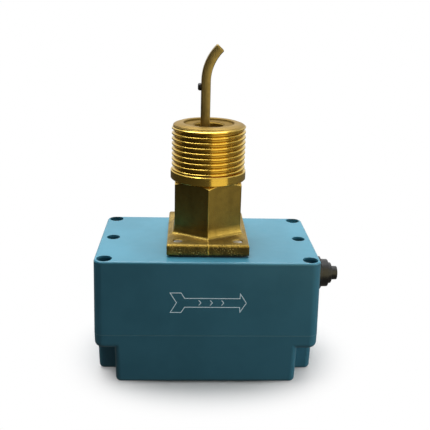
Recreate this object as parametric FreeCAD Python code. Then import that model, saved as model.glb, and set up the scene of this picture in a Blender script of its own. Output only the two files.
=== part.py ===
"""Paddle flow switch: moulded two-part case, forged pipe fitting, bellows-sealed lever and microswitch.

Units are millimetres.  +Z runs along the pipe thread, away from the case.  The origin lies on the
thread's axis, in the plane of the cover's outer face, on which the switch stands.  +X is the
direction of flow.  The case reaches further towards +Y than towards -Y.
"""
import FreeCAD, Part
import math
import os

from FreeCAD import Vector

# ---- case -------------------------------------------------------------------------------------
CASE_LENGTH = 99.0          # along X, at the base's outer face
CASE_DEPTH = 62.0           # along Y, at the base's outer face
AXIS_OFFSET = 1.0           # from the thread's axis to the middle of the case, along +Y
BASE_HEIGHT = 34.8
COVER_HEIGHT = 24.0
DRAFT = math.radians(1.0)
CASE_CORNER_R = 4.0
CASE_WALL = 3.0
BASE_FLOOR = 3.0            # the wall that carries the fitting
COVER_FLOOR = 2.8
BASE_EDGE_R = 1.0
COVER_EDGE_R = 2.0
PLATFORM_EDGE_R = 2.6
NOTCH_X = 8.9               # corner notches of the cover
NOTCH_Y = 11.7
NOTCH_CORNER_R = 2.5
NOTCH_INNER_R = 1.5
PLATFORM_DROP = 6.8         # from the parting plane to the platforms in the notches
GASKET_WIDTH = 1.5
GASKET_DEPTH = 1.4
GASKET_PROUD = 0.05

# ---- case screws ------------------------------------------------------------------------------
CASE_SCREW_DX = 4.5         # from the case's side faces to the screws' axes
CASE_SCREW_DY = 4.0
CASE_SCREW_BORE_R = 3.35
CASE_SCREW_BORE_DEPTH = 20.0
CASE_SCREW_HEAD_R = 3.2
CASE_SCREW_HEAD_H = 2.8
INSERT_R = 2.7
INSERT_LENGTH = 3.9
KNOCKOUT_DX = 5.7           # shallow round knockouts beside the fitting
KNOCKOUT_R = 3.0
KNOCKOUT_DEPTH = 2.2

# ---- fitting ----------------------------------------------------------------------------------
GASKET_THICK = 0.8          # under the flange
FLANGE_X = 36.3
FLANGE_Y = 48.0
FLANGE_THICK = 5.1
FLANGE_CORNER_R = 3.8
FLANGE_EDGE_R = 0.7
FLANGE_SCREW_X = 13.2        # from the axis
FLANGE_SCREW_Y = 18.8
HEX_FLATS = 30.0
HEX_FOOT_FLATS = 32.2
HEX_FOOT_HEIGHT = 4.6
HEX_CHAMFER_SLOPE = 0.67
HEX_LENGTH = 23.3           # from the flange to the start of the collar's cone
COLLAR_R = 17.1
COLLAR_CONE = 1.0
COLLAR_LENGTH = 3.9
THREAD_R = 16.62            # half the 33.25 mm outside diameter of a one-inch pipe thread
THREAD_PITCH = 2.309
THREAD_DEPTH = 1.479
THREAD_CREST = 0.42         # width of a crest's flat
THREAD_TURNS = 8
THREAD_LIP = 2.8            # plain lip between the last crest's middle and the end face
LIP_CHAMFER = 1.4
LIP_CHAMFER_WIDTH = 2.9
END_RECESS_R = 11.2
END_RECESS_DEPTH = 1.0
THROAT_R = 6.6
THROAT_LENGTH = 19.0
CHAMBER_R = 10.5
CHAMBER_CONE = 3.0
SEAT_R = 13.4               # counterbore under the flange, for the bellows' plate
SEAT_DEPTH = 3.0

# ---- bellows ----------------------------------------------------------------------------------
SEAL_PLATE_BORE_R = 5.2
O_RING_THICK = 1.1
O_RING_WIDTH = 1.6
BELLOWS_R = 7.2
BELLOWS_CONVOLUTION = 1.7
BELLOWS_WALL = 0.35
BELLOWS_FOLDS = 9
BELLOWS_CUFF = 1.2
BELLOWS_LENGTH = 25.0
BELLOWS_CAP_THICK = 2.4
BELLOWS_CAP_R = 6.2

# ---- lever ------------------------------------------------------------------------------------
ROD_OFFSET = -1.75          # rod's axis from the thread's axis, against the flow
ROD_THICK = 4.2             # along X
ROD_WIDTH = 4.5             # along Y
ROD_EDGE_R = 0.6
ROD_STRAIGHT_TOP = 73.6     # above the case's face
ROD_BEND_R = 20.0
ROD_BEND = math.radians(43.0)
ROD_TIP = 1.2
PADDLE_SCREW_Z = 71.0       # above the case's face
PADDLE_SCREW_R = 1.5
PADDLE_HEAD_R = 1.65
PADDLE_HEAD_H = 1.45
SWING = math.radians(4.5)

# ---- mechanism --------------------------------------------------------------------------------
PIVOT_DROP = 13.8           # from the case's face down to the pivot
PIVOT_R = 1.5
FRAME_THICK = 1.5
FRAME_X = 19.0
FRAME_Y = 23.0
EAR_GAP = 12.4              # between the frame's two ears
EAR_FRONT_X = 7.0
EAR_BELOW_PIVOT = 5.0
FRAME_BACK_LEFT = -36.0
FRAME_BACK_RIGHT = 23.0
FRAME_BACK_DROP = 36.6      # from the case's face down to the shelf's underside
SHELF_X = 9.0
SHELF_Y = -6.5
ROCKER_HALF_X = 4.5
ROCKER_WIDTH = 11.6
ROCKER_ABOVE = 7.5
ROCKER_BELOW = 3.8
ROD_SEAT = 3.0              # from the pivot's axis up to the rod's inner end
ARM_THICK = 2.0
ARM_WIDTH = 8.0
SWITCH_ARM = 14.0           # from the pivot to the plunger
SPRING_ARM = 18.0           # from the pivot to the range spring
ARM_END = 3.6               # of each arm beyond its pad
PAD_R = 1.6
PAD_HEIGHT = 0.9
SPRING_BOSS_R = 2.6
SPRING_BOSS_HEIGHT = 1.4

# ---- microswitch ------------------------------------------------------------------------------
SWITCH_LENGTH = 27.8
SWITCH_THICK = 10.3
SWITCH_HEIGHT = 15.9
SWITCH_HOLE_SPACING = 22.2
SWITCH_HOLE_UP = 2.9
SWITCH_PLUNGER_SHIFT = 5.35  # from the case's middle to the plunger
SWITCH_CORNER_R = 1.0
PLUNGER_R = 1.6
PLUNGER_PROUD = 0.9
PLUNGER_GUIDE = 3.6
PLUNGER_RUNNING = 0.06
PLUNGER_GAP = 0.3
INSULATOR_THICK = 0.4
TERMINAL_WIDTH = 6.3
TERMINAL_THICK = 0.8
TERMINAL_LENGTH = 8.0
TERMINAL_SPACING = 9.2
TERMINAL_SCREW_R = 1.6

# ---- range adjuster ---------------------------------------------------------------------------
RANGE_SCREW_R = 2.0
RANGE_SCREW_HEAD_R = 4.0
RANGE_SCREW_HEAD_H = 3.0
RANGE_SCREW_LENGTH = 14.4   # above the shelf's underside
NUT_SIDE = 8.4
NUT_THICK = 3.2
NUT_ABOVE_SHELF = 3.6
NUT_RUNNING = 0.06
SPRING_WIRE_R = 0.4
SPRING_COIL_R = 3.25
SPRING_TURNS = 6
CLIP_THICK = 0.8
CLIP_R = 3.7

# ---- cable entry ------------------------------------------------------------------------------
ENTRY_DROP = 17.25          # from the case's face down to the entry's axis
ENTRY_HOLE_R = 8.0
GROMMET_FLANGE_R = 9.6
GROMMET_FLANGE_THICK = 1.8
GROMMET_STEPS = ((8.2, 3.3), (6.8, 3.6), (5.2, 1.7), (3.4, 3.0))   # radius, length
GROMMET_WALL = 1.5
GROMMET_SEAT_GAP = 0.2      # to the drafted wall, on both of its sides
GROMMET_BORE_R = 2.0

# ---- fasteners and fits -----------------------------------------------------------------------
M4_R = 2.0
M3_R = 1.5
CLEARANCE_HOLE = 0.2        # radial, around a screw that passes through
FIT = 0.03                  # radial, between a piece and its seat
RUNNING = 0.05              # radial, for the pivot
FACE_GAP = 0.1              # between faces that slide
SLOT_WIDTH = 0.9
PAN_HEAD_R = 3.6
PAN_HEAD_H = 2.5
SMALL_HEAD_R = 2.7
SMALL_HEAD_H = 2.0
GROUND_SCREW_X = 3.0
GROUND_SCREW_DROP = 24.6

# ---- derived places ---------------------------------------------------------------------------
Z_PART = COVER_HEIGHT
Z_FACE = COVER_HEIGHT + BASE_HEIGHT
Z_CEILING = Z_FACE - BASE_FLOOR
Z_PLATFORM = Z_PART - PLATFORM_DROP
Z_FLANGE = Z_FACE + GASKET_THICK
Z_FLANGE_TOP = Z_FLANGE + FLANGE_THICK
Z_COLLAR_CONE = Z_FLANGE_TOP + HEX_LENGTH
Z_COLLAR = Z_COLLAR_CONE + COLLAR_CONE
Z_THREAD = Z_COLLAR + COLLAR_LENGTH
Z_END = Z_THREAD + THREAD_TURNS * THREAD_PITCH + THREAD_LIP
Z_BELLOWS = Z_FLANGE + SEAT_DEPTH - O_RING_THICK
Z_BELLOWS_CAP = Z_BELLOWS + BELLOWS_LENGTH
Z_PIVOT = Z_FACE - PIVOT_DROP
Z_FRAME = Z_CEILING - FRAME_THICK
Z_ARM = Z_PIVOT - ROCKER_BELOW + ARM_THICK
Z_SHELF = Z_FACE - FRAME_BACK_DROP
Z_ENTRY = Z_FACE - ENTRY_DROP
CASE_Y = AXIS_OFFSET
HALF_X = CASE_LENGTH / 2
HALF_Y = CASE_DEPTH / 2
EAR_IN = EAR_GAP / 2
EAR_OUT = EAR_IN + FRAME_THICK
PLUNGER_X = ROD_OFFSET - SWITCH_ARM
SPRING_X = ROD_OFFSET + SPRING_ARM
Z_PAD = Z_ARM - ARM_THICK - PAD_HEIGHT
Z_PLUNGER_TOP = Z_PAD - PLUNGER_GAP
Z_SWITCH_TOP = Z_PLUNGER_TOP - PLUNGER_PROUD
Z_SWITCH = Z_SWITCH_TOP - SWITCH_HEIGHT
SWITCH_BACK = EAR_IN - INSULATOR_THICK
SWITCH_Y = SWITCH_BACK - SWITCH_THICK / 2
SWITCH_X = PLUNGER_X - SWITCH_PLUNGER_SHIFT
Z_NUT = Z_SHELF + FRAME_THICK + NUT_ABOVE_SHELF
SCREW_XY = [(sx * (HALF_X - CASE_SCREW_DX), CASE_Y + sy * (HALF_Y - CASE_SCREW_DY))
            for sx in (-1, 1) for sy in (-1, 1)]
FLANGE_XY = [(sx * FLANGE_SCREW_X, sy * FLANGE_SCREW_Y) for sx in (-1, 1) for sy in (-1, 1)]

AXIS_X = Vector(1, 0, 0)
AXIS_Y = Vector(0, 1, 0)
AXIS_Z = Vector(0, 0, 1)


# ---- small shape helpers ----------------------------------------------------------------------
def block(x0, x1, y0, y1, z0, z1):
    return Part.makeBox(x1 - x0, y1 - y0, z1 - z0, Vector(x0, y0, z0))


def rod_z(r, z0, z1, x=0.0, y=0.0):
    return Part.makeCylinder(r, z1 - z0, Vector(x, y, z0), AXIS_Z)


def rod_x(r, x0, x1, y, z):
    return Part.makeCylinder(r, x1 - x0, Vector(x0, y, z), AXIS_X)


def rod_y(r, y0, y1, x, z):
    return Part.makeCylinder(r, y1 - y0, Vector(x, y0, z), AXIS_Y)


def fuse(first, *others):
    return first.multiFuse(list(others)).removeSplitter()


def cut(shape, *tools):
    for tool in tools:
        shape = shape.cut(tool)
    return shape


def turned(profile, x=0.0, y=0.0):
    """Solid of revolution about the vertical through x, y, from (radius, z) points."""
    points = [Vector(x + r, y, z) for r, z in profile]
    face = Part.Face(Part.makePolygon(points + points[:1]))
    return face.revolve(Vector(x, y, 0), AXIS_Z, 360)


def rounded_outline(corners, z):
    """Closed wire through (x, y, radius) corners, with each corner rounded by a tangent arc."""
    arcs = []
    count = len(corners)
    for i, (x, y, r) in enumerate(corners):
        here = Vector(x, y, z)
        back = (Vector(*corners[i - 1][:2], z) - here).normalize()
        ahead = (Vector(*corners[(i + 1) % count][:2], z) - here).normalize()
        half = back.getAngle(ahead) / 2
        reach = r / math.tan(half)
        centre = here + (back + ahead).normalize() * (r / math.sin(half))
        middle = centre + (here - centre).normalize() * r
        arcs.append((here + back * reach, middle, here + ahead * reach))
    edges = []
    for i, (start, middle, end) in enumerate(arcs):
        edges.append(Part.Arc(start, middle, end).toShape())
        edges.append(Part.LineSegment(end, arcs[(i + 1) % count][0]).toShape())
    return Part.Wire(edges)


def rectangle(half_x, half_y, r, z, y=0.0):
    return rounded_outline([(-half_x, y - half_y, r), (half_x, y - half_y, r),
                            (half_x, y + half_y, r), (-half_x, y + half_y, r)], z)


def cross(half_x, half_y, notch_x, notch_y, r_out, r_in, z, y=0.0):
    """Outline of a rectangle whose four corners are notched."""
    inner_x = half_x - notch_x
    inner_y = half_y - notch_y
    quarter = [(half_x, inner_y, r_out), (inner_x, inner_y, r_in), (inner_x, half_y, r_out)]
    corners = []
    for sx, sy in ((1, 1), (-1, 1), (-1, -1), (1, -1)):
        part = [(sx * cx, y + sy * cy, r) for cx, cy, r in quarter]
        corners += part if sx * sy > 0 else part[::-1]
    return rounded_outline(corners, z)


def loft(*wires):
    return Part.makeLoft(list(wires), True, True)


def edges_at(shape, z):
    return [e for e in shape.Edges if all(abs(v.Z - z) < 1e-4 for v in e.Vertexes)
            and abs(e.BoundBox.ZMax - z) < 1e-3 and abs(e.BoundBox.ZMin - z) < 1e-3]


def pan_screw(shank_r, length, head_r, head_h, slot=SLOT_WIDTH):
    """Slotted screw along +Z: the head is below z = 0 and the shank above it."""
    head = rod_z(head_r, -head_h, 0)
    head = head.makeChamfer(0.25 * head_h, edges_at(head, -head_h))
    screw = fuse(head, rod_z(shank_r, 0, length))
    return cut(screw, block(-head_r, head_r, -slot / 2, slot / 2, -head_h, -head_h * 0.55))


def placed(shape, x, y, z, axis=AXIS_Z):
    """Copy of a shape modelled along +Z, turned to point along axis and moved."""
    copy = shape.copy()
    copy.Placement = FreeCAD.Placement(Vector(x, y, z), FreeCAD.Rotation(AXIS_Z, axis))
    return copy


# ---- case -------------------------------------------------------------------------------------
def case_half(z):
    """Half length and half depth of the case at a height: widest at the parting plane."""
    if z >= Z_PART:
        grow = (Z_FACE - z) * math.tan(DRAFT)
    else:
        grow = (BASE_HEIGHT - (Z_PART - z)) * math.tan(DRAFT)
    return HALF_X + grow, HALF_Y + grow


def case_outline(z):
    half_x, half_y = case_half(z)
    return rectangle(half_x, half_y, CASE_CORNER_R, z, CASE_Y)


def cross_outline(z, inset=0.0, r_out=NOTCH_CORNER_R, r_in=NOTCH_INNER_R):
    half_x, half_y = case_half(z)
    return cross(half_x - inset, half_y - inset, NOTCH_X, NOTCH_Y, r_out, r_in, z, CASE_Y)


def gasket_ring(z0, z1, narrow=0.0):
    middle = CASE_WALL / 2
    half = GASKET_WIDTH / 2 - narrow
    half_x, half_y = case_half(Z_PART)
    rings = []
    for inset in (middle - half, middle + half):
        low = cross(half_x - inset, half_y - inset, NOTCH_X, NOTCH_Y, NOTCH_CORNER_R,
                    NOTCH_INNER_R, z0, CASE_Y)
        rings.append(Part.Face(low).extrude(Vector(0, 0, z1 - z0)))
    return rings[0].cut(rings[1])


def enclosure_base():
    outer = loft(case_outline(Z_PART), case_outline(Z_FACE))
    outer = outer.makeFillet(BASE_EDGE_R, edges_at(outer, Z_FACE))
    inner = loft(cross_outline(Z_PART, CASE_WALL), cross_outline(Z_CEILING, CASE_WALL))
    base = outer.cut(inner)
    for x, y in SCREW_XY:
        base = cut(base,
                   rod_z(CASE_SCREW_BORE_R, Z_FACE - CASE_SCREW_BORE_DEPTH, Z_FACE + 1, x, y),
                   rod_z(M4_R + CLEARANCE_HOLE, Z_PART - 1, Z_FACE, x, y))
    for side in (-1, 1):
        base = base.cut(rod_z(KNOCKOUT_R, Z_FACE - KNOCKOUT_DEPTH, Z_FACE + 1,
                              side * (HALF_X - KNOCKOUT_DX), CASE_Y))
    for x, y in FLANGE_XY:
        base = base.cut(rod_z(M4_R + CLEARANCE_HOLE, Z_CEILING - 1, Z_FACE + 1, x, y))
    base = base.cut(rod_z(SEAL_PLATE_BORE_R + 1, Z_CEILING - 1, Z_FACE + 1))
    return base.cut(rod_x(ENTRY_HOLE_R, HALF_X - 2 * CASE_WALL, HALF_X + 2 * CASE_WALL, CASE_Y, Z_ENTRY))


def enclosure_cover():
    rim = loft(case_outline(Z_PLATFORM), case_outline(Z_PART))
    rim = rim.makeFillet(PLATFORM_EDGE_R, edges_at(rim, Z_PLATFORM))
    body = loft(cross_outline(0), cross_outline(Z_PART))
    body = body.makeFillet(COVER_EDGE_R, edges_at(body, 0))
    cover = fuse(rim, body)
    cover = cover.cut(loft(cross_outline(COVER_FLOOR, CASE_WALL), cross_outline(Z_PART, CASE_WALL)))
    cover = cover.cut(gasket_ring(Z_PART - GASKET_DEPTH, Z_PART + 1))
    for x, y in SCREW_XY:
        cover = cut(cover,
                    rod_z(INSERT_R + FIT, Z_PART - INSERT_LENGTH, Z_PART + 1, x, y))
    return cover


def cover_gasket():
    return gasket_ring(Z_PART - GASKET_DEPTH, Z_PART - FACE_GAP / 2, GASKET_PROUD)


def threaded_inserts():
    return [rod_z(INSERT_R, Z_PART - INSERT_LENGTH, Z_PART, x, y)
            .cut(rod_z(M4_R + FIT, Z_PART - INSERT_LENGTH - 1, Z_PART + 1, x, y)) for x, y in SCREW_XY]


def cover_screws():
    seat = Z_FACE - CASE_SCREW_BORE_DEPTH
    screw = pan_screw(M4_R, seat - (Z_PART - INSERT_LENGTH), CASE_SCREW_HEAD_R, CASE_SCREW_HEAD_H)
    return [placed(screw, x, y, seat, Vector(0, 0, -1)) for x, y in SCREW_XY]


# ---- fitting and seal -------------------------------------------------------------------------
def hexagon(flats, z):
    """Hexagon across flats, with two flats facing along X."""
    r = flats / math.sqrt(3)
    points = [Vector(r * math.sin(k * math.pi / 3), r * math.cos(k * math.pi / 3), z) for k in range(6)]
    return Part.makePolygon(points + points[:1])


def thread_body():
    """Threaded length with one V-groove between each pair of crests."""
    profile = [(0, Z_COLLAR), (COLLAR_R, Z_COLLAR), (COLLAR_R, Z_THREAD)]
    root = THREAD_R - THREAD_DEPTH
    half_gap = (THREAD_PITCH - THREAD_CREST) / 2
    for k in range(THREAD_TURNS):
        valley = Z_THREAD + (k + 0.5) * THREAD_PITCH
        profile += [(THREAD_R, valley - half_gap), (root, valley - 0.12), (root, valley + 0.12),
                    (THREAD_R, valley + half_gap)]
    profile += [(THREAD_R, Z_END - LIP_CHAMFER), (THREAD_R - LIP_CHAMFER_WIDTH, Z_END), (0, Z_END)]
    return turned(profile)


def pipe_fitting():
    flange = Part.Face(rectangle(FLANGE_X / 2, FLANGE_Y / 2, FLANGE_CORNER_R, Z_FLANGE))
    flange = flange.extrude(Vector(0, 0, FLANGE_THICK))
    flange = flange.makeFillet(FLANGE_EDGE_R, edges_at(flange, Z_FLANGE_TOP))
    foot_top = Z_FLANGE_TOP + HEX_FOOT_HEIGHT
    foot = loft(hexagon(HEX_FOOT_FLATS, Z_FLANGE_TOP - 0.5), hexagon(HEX_FLATS, foot_top))
    nut = Part.Face(hexagon(HEX_FLATS, foot_top)).extrude(Vector(0, 0, Z_COLLAR - foot_top))
    corner_r = HEX_FLATS / math.sqrt(3) + 0.4
    spread = corner_r - HEX_FLATS / 2
    nut = nut.common(turned([(0, foot_top), (corner_r, foot_top),
                             (corner_r, Z_COLLAR - spread * HEX_CHAMFER_SLOPE),
                             (corner_r - spread, Z_COLLAR), (0, Z_COLLAR)]))
    cone = turned([(0, Z_COLLAR_CONE), (HEX_FLATS / 2, Z_COLLAR_CONE), (COLLAR_R, Z_COLLAR), (0, Z_COLLAR)])
    body = fuse(flange, foot, nut, cone, thread_body())
    bore = turned([(0, Z_FLANGE - 1), (SEAT_R, Z_FLANGE - 1), (SEAT_R, Z_FLANGE + SEAT_DEPTH),
                   (CHAMBER_R, Z_FLANGE + SEAT_DEPTH),
                   (CHAMBER_R, Z_END - THROAT_LENGTH - CHAMBER_CONE),
                   (THROAT_R, Z_END - THROAT_LENGTH), (THROAT_R, Z_END - END_RECESS_DEPTH),
                   (END_RECESS_R, Z_END - END_RECESS_DEPTH), (END_RECESS_R, Z_END + 1), (0, Z_END + 1)])
    body = body.cut(bore)
    for x, y in FLANGE_XY:
        body = body.cut(rod_z(M4_R + FIT, Z_FLANGE - 1, Z_FLANGE_TOP + 3, x, y))
    return body


def flange_gasket():
    sheet = Part.Face(rectangle(FLANGE_X / 2 - 0.4, FLANGE_Y / 2 - 0.4, FLANGE_CORNER_R, Z_FACE))
    sheet = sheet.extrude(Vector(0, 0, GASKET_THICK))
    sheet = sheet.cut(rod_z(SEAL_PLATE_BORE_R + 1, Z_FACE - 1, Z_FLANGE + 1))
    for x, y in FLANGE_XY:
        sheet = sheet.cut(rod_z(M4_R + CLEARANCE_HOLE, Z_FACE - 1, Z_FLANGE + 1, x, y))
    return sheet


def flange_screws():
    screw = pan_screw(M4_R - FIT, Z_FLANGE_TOP - 0.4 - Z_FRAME, PAN_HEAD_R, PAN_HEAD_H)
    return [placed(screw, x, y, Z_FRAME) for x, y in FLANGE_XY]


def seal_plate():
    plate = rod_z(SEAT_R - FIT, Z_FLANGE, Z_BELLOWS)
    return plate.cut(rod_z(SEAL_PLATE_BORE_R, Z_FLANGE - 1, Z_BELLOWS + 1))


def seal_ring():
    outer = rod_z(SEAT_R - 0.2, Z_BELLOWS, Z_FLANGE + SEAT_DEPTH)
    return outer.cut(rod_z(SEAT_R - 0.2 - O_RING_WIDTH, Z_BELLOWS - 1, Z_FLANGE + SEAT_DEPTH + 1))


def bellows():
    """Thin folded tube, from its cuff on the plate to its cuff under the cap."""
    neck = BELLOWS_R - BELLOWS_CONVOLUTION
    step = (BELLOWS_LENGTH - 2 * BELLOWS_CUFF) / BELLOWS_FOLDS
    line = [(neck, Z_BELLOWS), (neck, Z_BELLOWS + BELLOWS_CUFF)]
    for k in range(BELLOWS_FOLDS):
        z = Z_BELLOWS + BELLOWS_CUFF + k * step
        line += [(BELLOWS_R, z + 0.35 * step), (BELLOWS_R, z + 0.65 * step), (neck, z + step)]
    line.append((neck, Z_BELLOWS_CAP))
    inside = [(r - BELLOWS_WALL, z) for r, z in reversed(line)]
    return turned(line + inside, ROD_OFFSET)


def bellows_cap():
    cap = rod_z(BELLOWS_CAP_R, Z_BELLOWS_CAP, Z_BELLOWS_CAP + BELLOWS_CAP_THICK, ROD_OFFSET)
    return cap.cut(rod_bar(FIT))


# ---- lever ------------------------------------------------------------------------------------
def rod_section(grow, z):
    half_x = ROD_THICK / 2 + grow
    half_y = ROD_WIDTH / 2 + grow
    wire = rectangle(half_x, half_y, ROD_EDGE_R + grow, z)
    wire.translate(Vector(ROD_OFFSET, 0, 0))
    return Part.Face(wire)


def rod_bar(grow=0.0):
    """Straight length of the rod, from its seat in the rocker."""
    low = Z_PIVOT + ROD_SEAT
    return rod_section(grow, low).extrude(Vector(0, 0, Z_FACE + ROD_STRAIGHT_TOP - low))


def lever_rod():
    top = Z_FACE + ROD_STRAIGHT_TOP
    centre = Vector(ROD_OFFSET + ROD_BEND_R, 0, top)
    bend = rod_section(0, top).revolve(centre, AXIS_Y, math.degrees(ROD_BEND))
    end = rod_section(0, top)
    end.rotate(centre, AXIS_Y, math.degrees(ROD_BEND))
    tip = end.extrude(Vector(math.sin(ROD_BEND), 0, math.cos(ROD_BEND)) * ROD_TIP)
    rod = fuse(rod_bar(), bend, tip)
    return rod.cut(rod_x(PADDLE_SCREW_R + FIT, ROD_OFFSET - ROD_THICK, ROD_OFFSET + ROD_THICK, 0,
                         Z_FACE + PADDLE_SCREW_Z))


def paddle_screw():
    screw = pan_screw(PADDLE_SCREW_R, ROD_THICK, PADDLE_HEAD_R, PADDLE_HEAD_H, 0.5)
    return placed(screw, ROD_OFFSET - ROD_THICK / 2, 0, Z_FACE + PADDLE_SCREW_Z, AXIS_X)


def rocker():
    low = Z_PIVOT - ROCKER_BELOW
    hub = block(ROD_OFFSET - ROCKER_HALF_X, ROD_OFFSET + ROCKER_HALF_X, -ROCKER_WIDTH / 2,
                ROCKER_WIDTH / 2, low, Z_PIVOT + ROCKER_ABOVE)
    arms = block(PLUNGER_X - ARM_END, SPRING_X + ARM_END, -ARM_WIDTH / 2, ARM_WIDTH / 2, low, Z_ARM)
    pad = rod_z(PAD_R, Z_PAD, low + 0.5, PLUNGER_X)
    boss = rod_z(SPRING_BOSS_R, low - SPRING_BOSS_HEIGHT, low + 0.5, SPRING_X)
    body = fuse(hub, arms, pad, boss)
    body = body.cut(rod_y(PIVOT_R + RUNNING, -ROCKER_WIDTH, ROCKER_WIDTH, ROD_OFFSET, Z_PIVOT))
    body = body.cut(rod_bar(FIT))
    return body.cut(rod_x(M3_R, ROD_OFFSET, ROD_OFFSET + ROCKER_HALF_X + 1, 0,
                          Z_PIVOT + (ROD_SEAT + ROCKER_ABOVE) / 2))


def rocker_set_screw():
    start = ROD_OFFSET + ROD_THICK / 2 + FIT
    screw = rod_z(M3_R - FIT, 0, ROCKER_HALF_X - ROD_THICK / 2 - 2 * FIT)
    end = ROCKER_HALF_X - ROD_THICK / 2
    screw = screw.cut(block(-M3_R, M3_R, -0.3, 0.3, end - 0.9, end + 1))
    return placed(screw, start, 0, Z_PIVOT + (ROD_SEAT + ROCKER_ABOVE) / 2, AXIS_X)


# ---- frame and pivot --------------------------------------------------------------------------
def mechanism_frame():
    plate = block(-FRAME_X, FRAME_X, -FRAME_Y, FRAME_Y, Z_FRAME, Z_CEILING)
    back = block(FRAME_BACK_LEFT, FRAME_BACK_RIGHT, EAR_IN, EAR_OUT, Z_SHELF, Z_CEILING)
    front = block(ROD_OFFSET - EAR_FRONT_X, ROD_OFFSET + EAR_FRONT_X, -EAR_OUT, -EAR_IN,
                  Z_PIVOT - EAR_BELOW_PIVOT, Z_CEILING)
    shelf = block(SHELF_X, FRAME_BACK_RIGHT, SHELF_Y, EAR_OUT, Z_SHELF, Z_SHELF + FRAME_THICK)
    frame = fuse(plate, back, front, shelf)
    frame = frame.cut(rod_z(SEAL_PLATE_BORE_R, Z_FRAME - 1, Z_CEILING + 1))
    frame = frame.cut(rod_y(PIVOT_R + FIT, -FRAME_Y, FRAME_Y, ROD_OFFSET, Z_PIVOT))
    frame = frame.cut(rod_z(RANGE_SCREW_R + CLEARANCE_HOLE / 2, Z_SHELF - 1, Z_SHELF + FRAME_THICK + 1,
                            SPRING_X))
    for x, y in FLANGE_XY:
        frame = frame.cut(rod_z(M4_R + CLEARANCE_HOLE, Z_FRAME - 1, Z_CEILING + 1, x, y))
    for x in switch_hole_xs():
        frame = frame.cut(rod_y(M3_R + FIT, EAR_IN - 1, EAR_OUT + 1, x, Z_SWITCH + SWITCH_HOLE_UP))
    return frame.cut(rod_y(M4_R + FIT, EAR_IN - 1, EAR_OUT + 1, GROUND_SCREW_X, Z_FACE - GROUND_SCREW_DROP))


def pivot_pin():
    pin = rod_y(PIVOT_R, -EAR_OUT - CLIP_THICK - 0.8, EAR_OUT + CLIP_THICK + 0.8, ROD_OFFSET, Z_PIVOT)
    return pin


def clip(bore_r, outer_r):
    """Open retaining ring about +Z, from z = 0 up."""
    ring = rod_z(outer_r, 0, CLIP_THICK).cut(rod_z(bore_r, -1, CLIP_THICK + 1))
    return ring.cut(block(0, outer_r + 1, -bore_r * 0.8, bore_r * 0.8, -1, CLIP_THICK + 1))


def pivot_clips():
    ring = clip(PIVOT_R + FIT, PIVOT_R + 1.7)
    return [placed(ring, ROD_OFFSET, EAR_OUT + FACE_GAP / 2, Z_PIVOT, AXIS_Y),
            placed(ring, ROD_OFFSET, -EAR_OUT - FACE_GAP / 2, Z_PIVOT, Vector(0, -1, 0))]


# ---- microswitch ------------------------------------------------------------------------------
def switch_hole_xs():
    return [SWITCH_X + side * SWITCH_HOLE_SPACING / 2 for side in (-1, 1)]


def switch_outline():
    half = SWITCH_LENGTH / 2
    return block(SWITCH_X - half, SWITCH_X + half, SWITCH_Y - SWITCH_THICK / 2,
                 SWITCH_Y + SWITCH_THICK / 2, Z_SWITCH, Z_SWITCH_TOP)


def switch_body():
    body = switch_outline()
    upright = [e for e in body.Edges if abs(e.Vertexes[0].Y - e.Vertexes[1].Y) > SWITCH_THICK / 2]
    body = body.makeFillet(SWITCH_CORNER_R, upright)
    body = body.cut(rod_z(PLUNGER_R + PLUNGER_RUNNING, Z_SWITCH_TOP - PLUNGER_GUIDE, Z_SWITCH_TOP + 1,
                          PLUNGER_X, SWITCH_Y))
    for x in switch_hole_xs():
        body = body.cut(rod_y(M3_R + CLEARANCE_HOLE / 2, SWITCH_Y - SWITCH_THICK, SWITCH_Y + SWITCH_THICK,
                              x, Z_SWITCH + SWITCH_HOLE_UP))
    return body


def switch_plunger():
    low = Z_SWITCH_TOP - PLUNGER_GUIDE + FACE_GAP
    plunger = rod_z(PLUNGER_R, low, Z_PLUNGER_TOP, PLUNGER_X, SWITCH_Y)
    return plunger.makeFillet(0.4, edges_at(plunger, Z_PLUNGER_TOP))


def switch_screws():
    reach = SWITCH_THICK + INSULATOR_THICK + FRAME_THICK + 1.2
    screw = pan_screw(M3_R, reach, SMALL_HEAD_R, SMALL_HEAD_H)
    return [placed(screw, x, SWITCH_Y - SWITCH_THICK / 2, Z_SWITCH + SWITCH_HOLE_UP, AXIS_Y)
            for x in switch_hole_xs()]


def switch_insulator():
    half = SWITCH_LENGTH / 2
    sheet = block(SWITCH_X - half, SWITCH_X + half, SWITCH_BACK, EAR_IN, Z_SHELF + 0.2, Z_SWITCH_TOP)
    for x in switch_hole_xs():
        sheet = sheet.cut(rod_y(M3_R + CLEARANCE_HOLE, SWITCH_BACK - 1, EAR_IN + 1, x,
                                Z_SWITCH + SWITCH_HOLE_UP))
    return sheet


def terminal(index):
    x = SWITCH_X + index * TERMINAL_SPACING
    half = TERMINAL_WIDTH / 2
    tab = block(x - half, x + half, SWITCH_Y - TERMINAL_THICK / 2, SWITCH_Y + TERMINAL_THICK / 2,
                Z_SWITCH - TERMINAL_LENGTH, Z_SWITCH)
    return tab.cut(rod_y(TERMINAL_SCREW_R + FIT, SWITCH_Y - 2, SWITCH_Y + 2, x,
                         Z_SWITCH - TERMINAL_LENGTH / 2))


def terminal_screws():
    screw = pan_screw(TERMINAL_SCREW_R, TERMINAL_THICK + 1.4, SMALL_HEAD_R, SMALL_HEAD_H)
    return [placed(screw, SWITCH_X + index * TERMINAL_SPACING, SWITCH_Y - TERMINAL_THICK / 2,
                   Z_SWITCH - TERMINAL_LENGTH / 2, AXIS_Y) for index in (-1, 0, 1)]


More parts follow.
